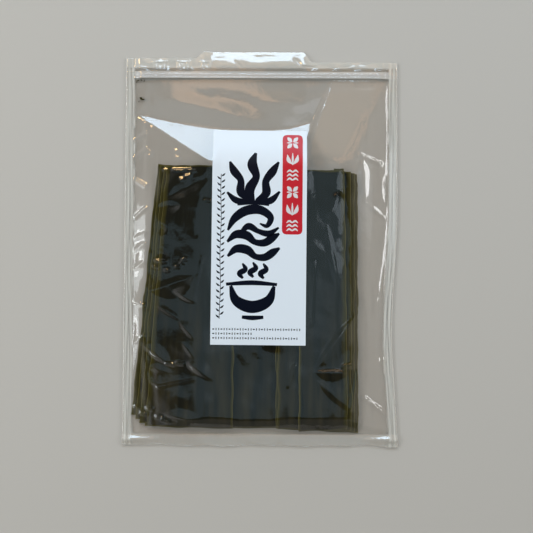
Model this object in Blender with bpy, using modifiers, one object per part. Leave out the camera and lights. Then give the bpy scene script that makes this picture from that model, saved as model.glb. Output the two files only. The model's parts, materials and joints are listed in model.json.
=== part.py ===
"""A clear zip pouch packed with dried kelp sheets, lying flat with its label side up.

Metres, +Z up. +Y runs from the pouch's bottom seal to its zip and top edge. The origin is
on the surface that the pouch lies on, under the middle of the pouch.

The front film is the upper of two mounds of sloping planes: one over the kelp stack, one over
the empty head of the pouch. A valley runs between them, just above the label.

Run it with: blender --background --python part.py
"""

import math

import bmesh
import bpy
import numpy as np
from mathutils import Vector

MM = 0.001

# Pouch film
POUCH_WIDTH = 240 * MM
POUCH_LENGTH = 346 * MM
SIDE_SEAL = 8 * MM
BOTTOM_SEAL = 10 * MM
SEAL_THICKNESS = 0.6 * MM
SEAL_LIFT = 1.2 * MM
BACK_CURL = 14 * MM
FOLD_RADIUS = 2.5 * MM
FILM_COLUMNS = 44
FILM_ROWS = 62

# The right side is drawn in where the kelp stack fills the pouch
DRAW_IN = 5 * MM
DRAW_CENTRE = -74 * MM
DRAW_REACH = 110 * MM

# Top edge: it stands highest along the middle, where the two lips curl
LIP_LEFT = -50 * MM
LIP_RIGHT = 36 * MM
LIP_BLEND = 9 * MM
LEFT_DROP = 6 * MM
RIGHT_DROP = 9.5 * MM

# Stack of kelp sheets inside the film
STACK_BOTTOM = -160 * MM
STACK_TOP = 74 * MM
STACK_LEFT_AT_TOP = -91 * MM
STACK_LEFT_AT_BOTTOM = -111 * MM
STACK_RIGHT = 86 * MM
STACK_HEIGHT = 13 * MM
EDGE_OUTSIDE = 17 * MM
EDGE_INSIDE = 13 * MM
END_RISE = 13 * MM
THIN_CORNER_X = -44 * MM
THIN_CORNER_LENGTH = 66 * MM
PILE_GAP_CENTRE = -4 * MM
PILE_GAP_HALF = 21 * MM
PILE_GAP_DEPTH = 1.6 * MM
PILE_GAP_TOP = -86 * MM

# Slope from the stack's top edge down to the valley, steep behind the label and easy beside it
CREST_Y = 71 * MM
CREST_X = -44 * MM
FACET_FALL = 0.29
FACET_LEAN = 0.045
EASY_FALL = 0.137
TURN_X = 38 * MM
TURN_Y = 95 * MM
TURN_LEAN = 0.58
TURN_CLIMB = 0.25

# Valley across the pouch, and the empty head between it and the zip
VALLEY_Y = 102 * MM
VALLEY_LEVEL = 3.4 * MM
VALLEY_BEND_LEFT = 1.32
VALLEY_BEND_RIGHT = 4.8
HEAD_RISE = 0.10
HEAD_FALL = 0.08
HEAD_SIDE = 0.3

# Zip
ZIP_Y = 152 * MM
ZIP_WIDTH = 6 * MM
ZIP_LENGTH = 226 * MM
ZIP_THICKNESS = 1.2 * MM
ZIP_RIB_HEIGHT = 0.8 * MM
ZIP_RIB_WIDTH = 1.4 * MM
ZIP_LEVEL = 3.4 * MM
ZIP_FLAT = 5 * MM
CHANNEL_DEPTH = 1.2 * MM

# Paper label on the front film
LABEL_WIDTH = 83 * MM
LABEL_LENGTH = 189 * MM
LABEL_X = -1.6 * MM
LABEL_Y = 8.5 * MM
LABEL_TURN = math.radians(-0.57)
LABEL_THICKNESS = 0.4 * MM

# Clearance between pieces that touch
GAP = 0.3 * MM

FILM_COLOUR = (0.30, 0.33, 0.22, 1.0)
LABEL_COLOUR = (0.84, 0.87, 0.92, 1.0)
ZIP_COLOUR = (0.78, 0.80, 0.80, 1.0)

RIM = SEAL_LIFT + SEAL_THICKNESS
BOTTOM_LINE = -POUCH_LENGTH / 2 + BOTTOM_SEAL
SEAL_LINE = POUCH_WIDTH / 2 - SIDE_SEAL


def ease(share):
    """Smooth step from 0 to 1, level at both ends."""
    share = min(max(share, 0.0), 1.0)
    return share * share * (3 - 2 * share)


def mix(low, high, share):
    return low + (high - low) * share


def lower_of(first, second, radius=FOLD_RADIUS):
    """The lower of two heights, with their meeting rounded into a ridge."""
    share = min(max(0.5 + 0.5 * (second - first) / radius, 0.0), 1.0)
    return mix(second, first, share) - radius * share * (1 - share)


def upper_of(first, second, radius=FOLD_RADIUS):
    """The upper of two heights, with their meeting rounded into a valley."""
    return -lower_of(-first, -second, radius)


def draw_in(y):
    """How far the right seal is pulled in towards the stack."""
    return DRAW_IN * ease(1 - abs(y - DRAW_CENTRE) / DRAW_REACH)


def top_drop(x):
    """How far the top edge falls short of its highest stretch."""
    left = LEFT_DROP * ease((LIP_LEFT - x) / LIP_BLEND)
    return left + RIGHT_DROP * ease((x - LIP_RIGHT) / LIP_BLEND)


def in_outline(x, y):
    """Moves a point of the flat, straight-sided pouch to its place in the filled one."""
    above_zip = (y - ZIP_Y - ZIP_FLAT) / (POUCH_LENGTH / 2 - ZIP_Y - ZIP_FLAT)
    drawn = x - draw_in(y) * max(x, 0.0) / (POUCH_WIDTH / 2)
    return drawn, y - top_drop(x) * max(above_zip, 0.0)


def stack_left(y):
    """Left edge of the kelp stack, which widens towards the bottom seal."""
    share = (STACK_TOP - y) / (STACK_TOP - STACK_BOTTOM)
    return mix(STACK_LEFT_AT_TOP, STACK_LEFT_AT_BOTTOM, min(max(share, 0.0), 1.0))


def left_slope(x, y):
    """Film between the left seal and the stack, which thins towards its top left corner."""
    foot = max(-SEAL_LINE, stack_left(y) - EDGE_OUTSIDE)
    thinning = ease((y - STACK_TOP) / THIN_CORNER_LENGTH + 1)
    shoulder = mix(stack_left(y) + EDGE_INSIDE, THIN_CORNER_X, thinning)
    return mix(RIM, STACK_HEIGHT, (x - foot) / (shoulder - foot))


def right_slope(x, y):
    """Film between the stack's right edge and the right seal."""
    foot = min(STACK_RIGHT + EDGE_OUTSIDE, SEAL_LINE - draw_in(y))
    shoulder = STACK_RIGHT - EDGE_INSIDE
    return mix(RIM, STACK_HEIGHT, (foot - x) / (foot - shoulder))


def top_slope(x, y):
    """Film that falls from the stack's top edge: steeply behind the label, easily to its right."""
    steep = STACK_HEIGHT - FACET_FALL * (y - CREST_Y) - FACET_LEAN * (x - CREST_X)
    turn = TURN_X + TURN_LEAN * max(y - TURN_Y, 0.0)
    climbing = steep + TURN_CLIMB * max(x - turn, 0.0)
    easy = STACK_HEIGHT - EASY_FALL * (y - CREST_Y)
    return lower_of(climbing, easy)


def pile_gap(x, y):
    """Shallow channel in the film where the two piles of sheets leave the middle one bare."""
    across = ease(1.5 - abs(x - PILE_GAP_CENTRE) / PILE_GAP_HALF)
    along = ease((PILE_GAP_TOP - y) / END_RISE)
    return PILE_GAP_DEPTH * across * along


def stack_mound(x, y):
    """Film over the kelp stack."""
    bottom = mix(RIM, STACK_HEIGHT, (y - BOTTOM_LINE) / END_RISE)
    height = STACK_HEIGHT - pile_gap(x, y)
    for slope in (left_slope(x, y), right_slope(x, y), bottom, top_slope(x, y)):
        height = lower_of(height, slope)
    return height


def head_mound(x, y):
    """Film over the empty head of the pouch, from the valley to the zip."""
    bend = VALLEY_BEND_LEFT if x < 0 else VALLEY_BEND_RIGHT
    valley = VALLEY_Y + bend * x * x
    height = VALLEY_LEVEL + HEAD_RISE * (y - valley)
    height = lower_of(height, ZIP_LEVEL + HEAD_FALL * (ZIP_Y - ZIP_FLAT - y))
    return lower_of(height, RIM + HEAD_SIDE * (SEAL_LINE - abs(x)))


def front_height(x, y):
    """Height of the front film."""
    if y > ZIP_Y - ZIP_FLAT:
        level = mix(ZIP_LEVEL, RIM, ease((y - ZIP_Y - ZIP_FLAT) / (2 * ZIP_FLAT)))
        film = lower_of(level, RIM + HEAD_SIDE * (SEAL_LINE - abs(x)))
    else:
        film = upper_of(stack_mound(x, y), head_mound(x, y))
    return max(film, RIM)


def back_height(x, y):
    """The back film lies on the surface, and turns up to the seals, the zip and the top edge."""
    across = (abs(x) - SEAL_LINE + draw_in(y)) / BACK_CURL + 1
    below = (BOTTOM_LINE - y) / BACK_CURL + 1
    above = (y - ZIP_Y) / BACK_CURL + 1
    return SEAL_LIFT * ease(max(across, below, above))


def stations_between(low, high, low_border, high_border, cells):
    """Grid lines from low to high, with one cell on each border and even cells between."""
    inner = np.linspace(low + low_border, high - high_border, cells - 1)
    return np.concatenate([[low], inner, [high]])


def add_film(mesh, height, facing_up):
    """Adds one film of the pouch to a bmesh as a grid raised to height(x, y)."""
    half_width, half_length = POUCH_WIDTH / 2, POUCH_LENGTH / 2
    columns = stations_between(-half_width, half_width, SIDE_SEAL, SIDE_SEAL, FILM_COLUMNS)
    rows = stations_between(-half_length, half_length, BOTTOM_SEAL, BOTTOM_SEAL, FILM_ROWS)
    made = bmesh.ops.create_grid(
        mesh, x_segments=FILM_COLUMNS, y_segments=FILM_ROWS, size=1.0
    )
    for vert in made["verts"]:
        flat_x = float(np.interp(vert.co.x, np.linspace(-1, 1, FILM_COLUMNS + 1), columns))
        flat_y = float(np.interp(vert.co.y, np.linspace(-1, 1, FILM_ROWS + 1), rows))
        x, y = in_outline(flat_x, flat_y)
        vert.co = (x, y, height(x, y))
    faces = list({face for vert in made["verts"] for face in vert.link_faces})
    if not facing_up:
        bmesh.ops.reverse_faces(mesh, faces=faces)


def object_from(mesh, name, collection):
    data = bpy.data.meshes.new(name)
    mesh.to_mesh(data)
    mesh.free()
    made = bpy.data.objects.new(name, data)
    collection.objects.link(made)
    return made


def finish_material(made, name, colour, roughness):
    """Gives an object its own plastic or paper finish."""
    material = bpy.data.materials.new(name)
    material.use_nodes = True
    shader = material.node_tree.nodes["Principled BSDF"]
    shader.inputs["Base Color"].default_value = colour
    shader.inputs["Roughness"].default_value = roughness
    shader.inputs["Metallic"].default_value = 0.0
    material.diffuse_color = colour
    made.data.materials.append(material)


def build_pouch(parts, cutters):
    """The sealed film and what it holds: a front film over the kelp stack, a flat back, and seals."""
    mesh = bmesh.new()
    add_film(mesh, front_height, facing_up=True)
    add_film(mesh, back_height, facing_up=False)
    rims = [edge for edge in mesh.edges if edge.is_boundary]
    bmesh.ops.bridge_loops(mesh, edges=rims)
    bmesh.ops.recalc_face_normals(mesh, faces=mesh.faces[:])
    pouch = object_from(mesh, "pouch", parts)
    finish_material(pouch, "clear_film_over_kelp", FILM_COLOUR, 0.15)
    pouch.data.shade_smooth()

    channel = bmesh.new()
    bmesh.ops.create_cube(channel, size=1.0)
    height = 4 * CHANNEL_DEPTH
    size = Vector((ZIP_LENGTH + 2 * GAP, ZIP_WIDTH + 2 * GAP, height))
    bmesh.ops.scale(channel, vec=size, verts=channel.verts[:])
    middle = Vector((0, ZIP_Y, ZIP_LEVEL - CHANNEL_DEPTH + height / 2))
    bmesh.ops.translate(channel, vec=middle, verts=channel.verts[:])
    cutter = object_from(channel, "zip_channel_cutter", cutters)
    cutter.hide_render = True
    cutter.display_type = "WIRE"
    cut = pouch.modifiers.new("zip_channel", "BOOLEAN")
    cut.operation = "DIFFERENCE"
    cut.object = cutter
    return pouch


def zip_outline():
    """Cross-section of the pressed-shut zip: a strip with two round-topped ribs."""
    half = ZIP_WIDTH / 2
    points = [(-half, 0.0), (half, 0.0), (half, ZIP_THICKNESS)]
    for rib_centre in (half - ZIP_RIB_WIDTH, -half + ZIP_RIB_WIDTH):
        for step in range(5):
            angle = math.pi * step / 4
            across = rib_centre + ZIP_RIB_WIDTH / 2 * math.cos(angle)
            points.append((across, ZIP_THICKNESS + ZIP_RIB_HEIGHT * math.sin(angle)))
    points.append((-half, ZIP_THICKNESS))
    return points


def build_zip(parts):
    """The ribbed zip track across the pouch, standing in its channel in the front film."""
    outline = zip_outline()
    curve = bpy.data.curves.new("zip_track", "CURVE")
    curve.dimensions = "2D"
    curve.fill_mode = "BOTH"
    curve.extrude = ZIP_LENGTH / 2
    spline = curve.splines.new("POLY")
    spline.points.add(len(outline) - 1)
    for point, (across, up) in zip(spline.points, outline):
        point.co = (across, up, 0, 1)
    spline.use_cyclic_u = True
    track = bpy.data.objects.new("zip_track", curve)
    track.rotation_euler = (math.pi / 2, 0, math.pi / 2)
    track.location = (0, ZIP_Y, ZIP_LEVEL - CHANNEL_DEPTH + GAP)
    parts.objects.link(track)
    finish_material(track, "clear_zip_profile", ZIP_COLOUR, 0.2)
    return track


def build_label(parts):
    """The paper label: the front film's own shape inside the label's outline, lifted clear of it."""
    mesh = bmesh.new()
    add_film(mesh, front_height, facing_up=True)
    middle = Vector((LABEL_X, LABEL_Y, 0))
    along = Vector((-math.sin(LABEL_TURN), math.cos(LABEL_TURN), 0))
    across = Vector((along.y, -along.x, 0))
    for direction, reach in ((along, LABEL_LENGTH / 2), (across, LABEL_WIDTH / 2)):
        for side in (-1, 1):
            bmesh.ops.bisect_plane(
                mesh,
                geom=mesh.verts[:] + mesh.edges[:] + mesh.faces[:],
                dist=1e-6,
                plane_co=middle + direction * reach * side,
                plane_no=direction * side,
                clear_outer=True,
            )
    bmesh.ops.translate(mesh, vec=(0, 0, GAP), verts=mesh.verts[:])
    label = object_from(mesh, "label", parts)
    finish_material(label, "label_paper", LABEL_COLOUR, 0.35)
    label.data.shade_smooth()
    paper = label.modifiers.new("paper", "SOLIDIFY")
    paper.thickness = LABEL_THICKNESS
    paper.offset = 1.0
    return label


def main():
    for old in list(bpy.data.objects):
        bpy.data.objects.remove(old)
    parts = bpy.data.collections.new("kelp_pouch")
    cutters = bpy.data.collections.new("cutters")
    bpy.context.scene.collection.children.link(parts)
    bpy.context.scene.collection.children.link(cutters)
    build_pouch(parts, cutters)
    build_zip(parts)
    build_label(parts)


if __name__ == "__main__":
    main()
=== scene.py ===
"""Looks of a clear zip pouch packed with dried kelp sheets, lying label side up.

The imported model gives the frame: the pouch, its zip track and its label. This script replaces
each of them with finished pieces: the film as one closed envelope, the zip's pressed profiles,
the kelp sheets that show through the film, a few kelp crumbs, and the printed paper label.
"""

from __future__ import annotations

import json
import logging
import math
from collections.abc import Sequence
from dataclasses import dataclass, field, replace
from enum import Enum

import bpy
import numpy as np
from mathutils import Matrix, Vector

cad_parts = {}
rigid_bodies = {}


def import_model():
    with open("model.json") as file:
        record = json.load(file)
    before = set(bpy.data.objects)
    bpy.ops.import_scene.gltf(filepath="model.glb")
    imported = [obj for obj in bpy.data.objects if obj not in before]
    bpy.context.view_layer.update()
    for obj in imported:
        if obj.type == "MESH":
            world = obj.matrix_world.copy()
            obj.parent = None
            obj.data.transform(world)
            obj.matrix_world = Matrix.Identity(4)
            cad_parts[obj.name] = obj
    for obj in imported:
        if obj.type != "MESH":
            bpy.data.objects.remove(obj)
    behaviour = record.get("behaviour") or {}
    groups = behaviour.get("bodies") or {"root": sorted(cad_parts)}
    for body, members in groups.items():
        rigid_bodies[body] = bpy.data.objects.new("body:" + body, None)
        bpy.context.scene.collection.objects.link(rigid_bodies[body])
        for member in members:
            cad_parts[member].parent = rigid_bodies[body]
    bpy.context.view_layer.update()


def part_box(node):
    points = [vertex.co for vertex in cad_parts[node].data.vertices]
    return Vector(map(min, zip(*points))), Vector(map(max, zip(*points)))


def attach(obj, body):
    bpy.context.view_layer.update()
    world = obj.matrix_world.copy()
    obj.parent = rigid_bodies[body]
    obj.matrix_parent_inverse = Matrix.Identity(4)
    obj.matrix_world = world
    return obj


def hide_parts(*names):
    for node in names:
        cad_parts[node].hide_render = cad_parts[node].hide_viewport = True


LOG = logging.getLogger("kelp_pouch")
MM = 0.001
BODY = "root"
# Edges sharper than this stay sharp when a piece is shaded smooth
SHARP_ANGLE = math.radians(40)
# Numbers of a Mix node's colour inputs and of its colour output
MIX_COLOURS = (6, 7)
MIX_RESULT = 2

Field = np.ndarray
Piece = bpy.types.Object
Material = bpy.types.Material
Tree = bpy.types.NodeTree
Node = bpy.types.Node
Socket = bpy.types.NodeSocket


# ---------------------------------------------------------------------------------------------
# Small helpers
# ---------------------------------------------------------------------------------------------


def ease(share: Field | float) -> Field:
    """Smooth step from 0 to 1, level at both ends."""
    share = np.clip(share, 0.0, 1.0)
    return share * share * (3 - 2 * share)


def mix(low: Field | float, high: Field | float, share: Field | float) -> Field:
    """Value that lies that share of the way from low to high."""
    return low + (high - low) * share


def lower_of(first: Field, second: Field, radius: float) -> Field:
    """Lower of two heights, with their meeting rounded into a ridge."""
    share = np.clip(0.5 + 0.5 * (second - first) / radius, 0.0, 1.0)
    return mix(second, first, share) - radius * share * (1 - share)


def upper_of(first: Field, second: Field, radius: float) -> Field:
    """Upper of two heights, with their meeting rounded into a valley."""
    return -lower_of(-first, -second, radius)


def waves(x: Field, y: Field, size: float, seed: int, count: int = 12) -> Field:
    """Smooth uneven field made of sine waves in seeded directions.

    Args:
        x: Places across, in metres.
        y: Places along, in metres.
        size: Typical wavelength, in metres.
        seed: Seed of the waves' directions and phases.
        count: Number of waves.

    Returns:
        Values that mostly lie between -1 and 1.
    """
    draw = np.random.default_rng(seed)
    total = np.zeros(np.broadcast(x, y).shape)
    for angle, phase, scale in zip(
        draw.uniform(0, math.pi, count), draw.uniform(0, math.tau, count), draw.uniform(0.7, 1.5, count)
    ):
        step = math.tau / (size * scale)
        total = total + np.sin(step * (x * math.cos(angle) + y * math.sin(angle)) + phase)
    return total / math.sqrt(count / 2) / 1.6


def linear_colour(hex_value: str, alpha: float = 1.0) -> tuple[float, float, float, float]:
    """Turns an sRGB hex value into Blender's linear colour."""
    parts = [int(hex_value[i : i + 2], 16) / 255 for i in (1, 3, 5)]
    linear = [p / 12.92 if p <= 0.04045 else ((p + 0.055) / 1.055) ** 2.4 for p in parts]
    return (linear[0], linear[1], linear[2], alpha)


def deselect_all() -> None:
    """Leaves nothing selected, so that the next operator acts on new work alone."""
    if bpy.context.object and bpy.context.object.mode != "OBJECT":
        bpy.ops.object.mode_set(mode="OBJECT")
    bpy.ops.object.select_all(action="DESELECT")


def select_only(piece: Piece) -> None:
    """Selects one object and makes it active."""
    deselect_all()
    piece.select_set(True)
    bpy.context.view_layer.objects.active = piece


def points_of(piece: Piece) -> Field:
    """Vertex places of a mesh piece as an array of rows."""
    places = np.empty(len(piece.data.vertices) * 3)
    piece.data.vertices.foreach_get("co", places)
    return places.reshape(-1, 3)


def move_points(piece: Piece, places: Field) -> None:
    """Writes vertex places back to a mesh piece."""
    piece.data.vertices.foreach_set("co", places.astype(np.float32).ravel())
    piece.data.update()


def set_attribute(piece: Piece, name: str, values: Field) -> None:
    """Stores one number for each vertex, for the piece's material to read."""
    attribute = piece.data.attributes.new(name, "FLOAT", "POINT")
    attribute.data.foreach_set("value", values.astype(np.float32))


def thicken(piece: Piece, thickness: float, offset: float) -> None:
    """Gives a flat piece its thickness: above it where the offset is 1, under it where it is -1."""
    select_only(piece)
    modifier = piece.modifiers.new("solidify", "SOLIDIFY")
    modifier.thickness = thickness
    modifier.offset = offset
    bpy.ops.object.modifier_apply(modifier=modifier.name)


def smooth_to_edges(piece: Piece) -> None:
    """Shades a piece smooth but for its sharp edges."""
    select_only(piece)
    bpy.ops.object.shade_smooth_by_angle(angle=SHARP_ANGLE)


def set_uv(piece: Piece, places: Field) -> None:
    """Writes a flat place for each vertex into the piece's UV layer, for its material to read."""
    layer = piece.data.uv_layers[0]
    layer.name = "blade"
    loops = np.empty(len(piece.data.loops), dtype=np.int32)
    piece.data.loops.foreach_get("vertex_index", loops)
    layer.data.foreach_set("uv", places[loops].astype(np.float32).ravel())


def choose_faces(piece: Piece, chosen: Sequence[bool]) -> None:
    """Opens a piece for editing with only the chosen faces selected."""
    select_only(piece)
    bpy.ops.object.mode_set(mode="EDIT")
    bpy.ops.mesh.select_mode(type="FACE")
    bpy.ops.mesh.select_all(action="DESELECT")
    bpy.ops.object.mode_set(mode="OBJECT")
    piece.data.polygons.foreach_set("select", chosen)
    bpy.ops.object.mode_set(mode="EDIT")


def join_pieces(pieces: Sequence[Piece], name: str) -> Piece:
    """Joins pieces into the first of them and names it."""
    deselect_all()
    for piece in pieces:
        piece.select_set(True)
    whole = pieces[0]
    bpy.context.view_layer.objects.active = whole
    if len(pieces) > 1:
        bpy.ops.object.join()
    whole.name = whole.data.name = name
    return whole


def grid_piece(name: str, columns: Field, rows: Field) -> Piece:
    """Adds a grid whose lines lie at the given stations.

    Args:
        name: Name of the new piece.
        columns: Stations across, in metres.
        rows: Stations along, in metres.

    Returns:
        The new piece, flat at height 0.
    """
    deselect_all()
    bpy.ops.mesh.primitive_grid_add(
        x_subdivisions=len(columns) - 1, y_subdivisions=len(rows) - 1, size=2
    )
    piece = bpy.context.active_object
    piece.name = piece.data.name = name
    places = points_of(piece)
    across = np.rint((places[:, 0] + 1) / 2 * (len(columns) - 1)).astype(int)
    along = np.rint((places[:, 1] + 1) / 2 * (len(rows) - 1)).astype(int)
    places[:, 0] = columns[across]
    places[:, 1] = rows[along]
    move_points(piece, places)
    return piece


def finish_piece(
    piece: Piece,
    materials: Sequence[Material],
    stands_for: str | None = None,
) -> None:
    """Dresses a finished piece, fixes it to the pouch and reports it.

    Args:
        piece: The finished piece.
        materials: Its materials, in the order of its faces' material numbers.
        stands_for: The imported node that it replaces, if it does.
    """
    piece.data.materials.clear()
    for material in materials:
        piece.data.materials.append(material)
    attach(piece, BODY)
    if stands_for:
        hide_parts(stands_for)
    piece.data.calc_loop_triangles()
    LOG.info("%s: %d triangles", piece.name, len(piece.data.loop_triangles))


# ---------------------------------------------------------------------------------------------
# Finishes
# ---------------------------------------------------------------------------------------------


def add_node(
    tree: Tree, kind: str, inputs: dict | None = None, **settings: object
) -> Node:
    """Adds a node with its settings, values and links.

    Args:
        tree: The material's node tree.
        kind: The node's type.
        inputs: Value or source socket for each input, by its name or number.
        **settings: The node's own properties.

    Returns:
        The new node.
    """
    node = tree.nodes.new(kind)
    for name, value in settings.items():
        setattr(node, name, value)
    for name, value in (inputs or {}).items():
        if isinstance(value, Socket):
            tree.links.new(value, node.inputs[name])
        else:
            node.inputs[name].default_value = value
    return node


def new_material(name: str) -> tuple[Material, Tree, Node]:
    """A new material with an empty node tree and its output node."""
    material = bpy.data.materials.new(name)
    material.use_nodes = True
    material.node_tree.nodes.clear()
    output = add_node(material.node_tree, "ShaderNodeOutputMaterial")
    return material, material.node_tree, output


def ranged(
    tree: Tree, value: Socket, start: float = 0.0, end: float = 1.0, least: float = 0.0, most: float = 1.0
) -> Socket:
    """The value, moved from between start and end to between least and most."""
    inputs = {"Value": value, "From Min": start, "From Max": end, "To Min": least, "To Max": most}
    return add_node(tree, "ShaderNodeMapRange", inputs).outputs[0]


def calculated(tree: Tree, operation: str, first: Socket | float, second: Socket | float) -> Socket:
    """Result of one operation on two values."""
    return add_node(tree, "ShaderNodeMath", {0: first, 1: second}, operation=operation).outputs[0]


def noise(tree: Tree, places: Socket, scale: float, detail: float) -> Socket:
    """Smooth uneven value at each place."""
    inputs = {"Vector": places, "Scale": scale, "Detail": detail}
    return add_node(tree, "ShaderNodeTexNoise", inputs).outputs["Fac"]


def scaled(tree: Tree, places: Socket, scale: tuple[float, float, float]) -> Socket:
    """The places, scaled along each axis."""
    return add_node(tree, "ShaderNodeMapping", {"Vector": places, "Scale": scale}).outputs[0]


def bumped(tree: Tree, height: Socket, strength: float, distance: float) -> Socket:
    """Normal of a surface with fine relief."""
    inputs = {"Height": height, "Strength": strength, "Distance": distance}
    return add_node(tree, "ShaderNodeBump", inputs).outputs["Normal"]


def blended(tree: Tree, share: Socket, low: Socket | str, high: Socket | str) -> Socket:
    """Colour that lies that share of the way from low to high, each a socket or a hex value."""
    blend = add_node(tree, "ShaderNodeMix", {0: share}, data_type="RGBA")
    for number, colour in zip(MIX_COLOURS, (low, high)):
        if isinstance(colour, str):
            blend.inputs[number].default_value = linear_colour(colour)
        else:
            tree.links.new(colour, blend.inputs[number])
    return blend.outputs[MIX_RESULT]


def layered(tree: Tree, share: Socket | float, first: Node, second: Node) -> Node:
    """Shader that lies that share of the way from the first to the second."""
    inputs = {0: share, 1: first.outputs[0], 2: second.outputs[0]}
    return add_node(tree, "ShaderNodeMixShader", inputs)


def clear_body(tree: Tree, tint: str, cloud: str, cloudiness: Socket | float) -> Node:
    """Shader of a clear plastic with some share of cloud in it."""
    clear = add_node(tree, "ShaderNodeBsdfTransparent", {"Color": linear_colour(tint)})
    dull = add_node(tree, "ShaderNodeBsdfDiffuse", {"Color": linear_colour(cloud)})
    return layered(tree, cloudiness, clear, dull)


def glossed(tree: Tree, body: Node, index: float, roughness: float, normal: Socket | None = None) -> Node:
    """The body under a mirroring skin, whose index is turned over where light leaves the plastic."""
    relief = {} if normal is None else {"Normal": normal}
    gloss = add_node(tree, "ShaderNodeBsdfGlossy", {"Roughness": roughness, **relief})
    side = add_node(tree, "ShaderNodeNewGeometry").outputs["Backfacing"]
    bend = ranged(tree, side, least=index, most=1 / index)
    facing = add_node(tree, "ShaderNodeFresnel", {"IOR": bend, **relief})
    return layered(tree, facing.outputs[0], body, gloss)


def opaque(tree: Tree, colour: object, roughness: float, sheen: float, normal: Socket) -> Node:
    """Opaque shader with a soft sheen."""
    inputs = {"Base Color": colour, "Roughness": roughness, "Specular IOR Level": sheen, "Normal": normal}
    return add_node(tree, "ShaderNodeBsdfPrincipled", inputs)


@dataclass(frozen=True)
class LaminatedFilm:
    """Clear nylon and polyethylene laminate, cast and heat sealed: glassy, with a faint grey haze."""

    tint: str = "#FBF9F7"
    haze_colour: str = "#EFEEE8"
    haze: float = 0.003
    seal_haze: float = 0.60
    # Its two faces each reflect: one face of this index gives as much as both of a 1.5 film
    index: float = 1.80
    roughness: float = 0.045
    ripple_size: float = 9 * MM
    ripple_depth: float = 0.10 * MM

    def material(self) -> Material:
        """Builds the film's material."""
        material, tree, output = new_material("laminated_clear_film")
        places = add_node(tree, "ShaderNodeTexCoord").outputs["Object"]
        normal = bumped(tree, noise(tree, places, 1 / self.ripple_size, 2.0), 1.0, self.ripple_depth)
        # The seal share holds the seals' haze and the mouth's haze, which is lower along the lip as painted
        # shade
        seal = add_node(tree, "ShaderNodeAttribute", attribute_name="seal").outputs["Fac"]
        share = ranged(tree, seal, least=self.haze, most=self.seal_haze)
        body = clear_body(tree, self.tint, self.haze_colour, share)
        film = glossed(tree, body, self.index, self.roughness, normal)
        tree.links.new(film.outputs[0], output.inputs["Surface"])
        return material


@dataclass(frozen=True)
class DriedKelp:
    """Sun-dried kelp: a leathery, greenish-black blade, browner at its foot, with thin olive margins."""

    blade: str = "#0A0C07"
    blade_light: str = "#1E1F15"
    blade_foot: str = "#37321F"
    margin: str = "#4A451C"
    margin_dark: str = "#2D2B0D"
    cut_edge: str = "#655F33"
    roughness: float = 0.55
    sheen: float = 0.06
    grain_scale: tuple[float, float, float] = (900, 25, 1)
    grain_depth: float = 0.2 * MM
    streak_scale: tuple[float, float, float] = (120, 15, 1)
    streak_range: tuple[float, float] = (0.38, 0.66)
    foot_range: tuple[float, float] = (0.14, 0.03)
    foot_share: float = 0.8
    patch_scale: float = 60.0
    margin_uneven: float = 5 * MM
    margin_range: tuple[float, float] = (4.5 * MM, 7.5 * MM)
    cut_range: tuple[float, float] = (0.2 * MM, 0.8 * MM)

    def material(self) -> Material:
        """Builds the kelp's material, which reads each sheet's distance from its margins."""
        material, tree, output = new_material("sun_dried_kelp")
        flat = add_node(tree, "ShaderNodeUVMap", uv_map="blade").outputs[0]
        grain = noise(tree, scaled(tree, flat, self.grain_scale), 1.0, 4.0)
        patch = noise(tree, flat, self.patch_scale, 3.0)
        streak = noise(tree, scaled(tree, flat, self.streak_scale), 1.0, 2.0)
        along = add_node(tree, "ShaderNodeSeparateXYZ", {0: flat}).outputs["Y"]
        near_foot = ranged(tree, along, *self.foot_range, most=self.foot_share)
        brown = calculated(tree, "MULTIPLY", ranged(tree, streak, *self.streak_range), near_foot)
        blade = blended(tree, grain, self.blade, self.blade_light)
        blade = blended(tree, brown, blade, self.blade_foot)
        margin = blended(tree, patch, self.margin_dark, self.margin)
        inward = add_node(tree, "ShaderNodeAttribute", attribute_name="from_margin").outputs["Fac"]
        uneven = calculated(tree, "MULTIPLY", patch, self.margin_uneven)
        reach = calculated(tree, "ADD", inward, uneven)
        colour = blended(tree, ranged(tree, reach, *self.margin_range), margin, blade)
        colour = blended(tree, ranged(tree, inward, *self.cut_range), self.cut_edge, colour)
        normal = bumped(tree, grain, 0.3, self.grain_depth)
        skin = opaque(tree, colour, self.roughness, self.sheen, normal)
        tree.links.new(skin.outputs[0], output.inputs["Surface"])
        return material


@dataclass(frozen=True)
class CoatedPaper:
    """Coated white label paper, calendered: bright, faintly blue, with a soft sheen."""

    name: str = "coated_label_paper"
    colour: str = "#E6F0FB"
    roughness: float = 0.32
    sheen: float = 0.35
    fibre_scale: float = 400.0
    fibre_depth: float = 0.05 * MM

    def material(self) -> Material:
        """Builds the paper's material, or that of an ink printed on it."""
        material, tree, output = new_material(self.name)
        places = add_node(tree, "ShaderNodeTexCoord").outputs["Object"]
        normal = bumped(tree, noise(tree, places, self.fibre_scale, 3.0), 0.25, self.fibre_depth)
        paper = opaque(tree, linear_colour(self.colour), self.roughness, self.sheen, normal)
        tree.links.new(paper.outputs[0], output.inputs["Surface"])
        return material


@dataclass(frozen=True)
class ZipPlastic:
    """Extruded low-density polyethylene: cloudy clear, with a waxy gloss."""

    tint: str = "#F4F4F2"
    cloud: str = "#F2F3F4"
    cloudiness: float = 0.56
    index: float = 1.7
    roughness: float = 0.12

    def material(self) -> Material:
        """Builds the zip's material."""
        material, tree, output = new_material("extruded_zip_plastic")
        body = clear_body(tree, self.tint, self.cloud, self.cloudiness)
        profile = glossed(tree, body, self.index, self.roughness)
        tree.links.new(profile.outputs[0], output.inputs["Surface"])
        return material


# ---------------------------------------------------------------------------------------------
# Shape of the filled pouch
# ---------------------------------------------------------------------------------------------


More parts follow.
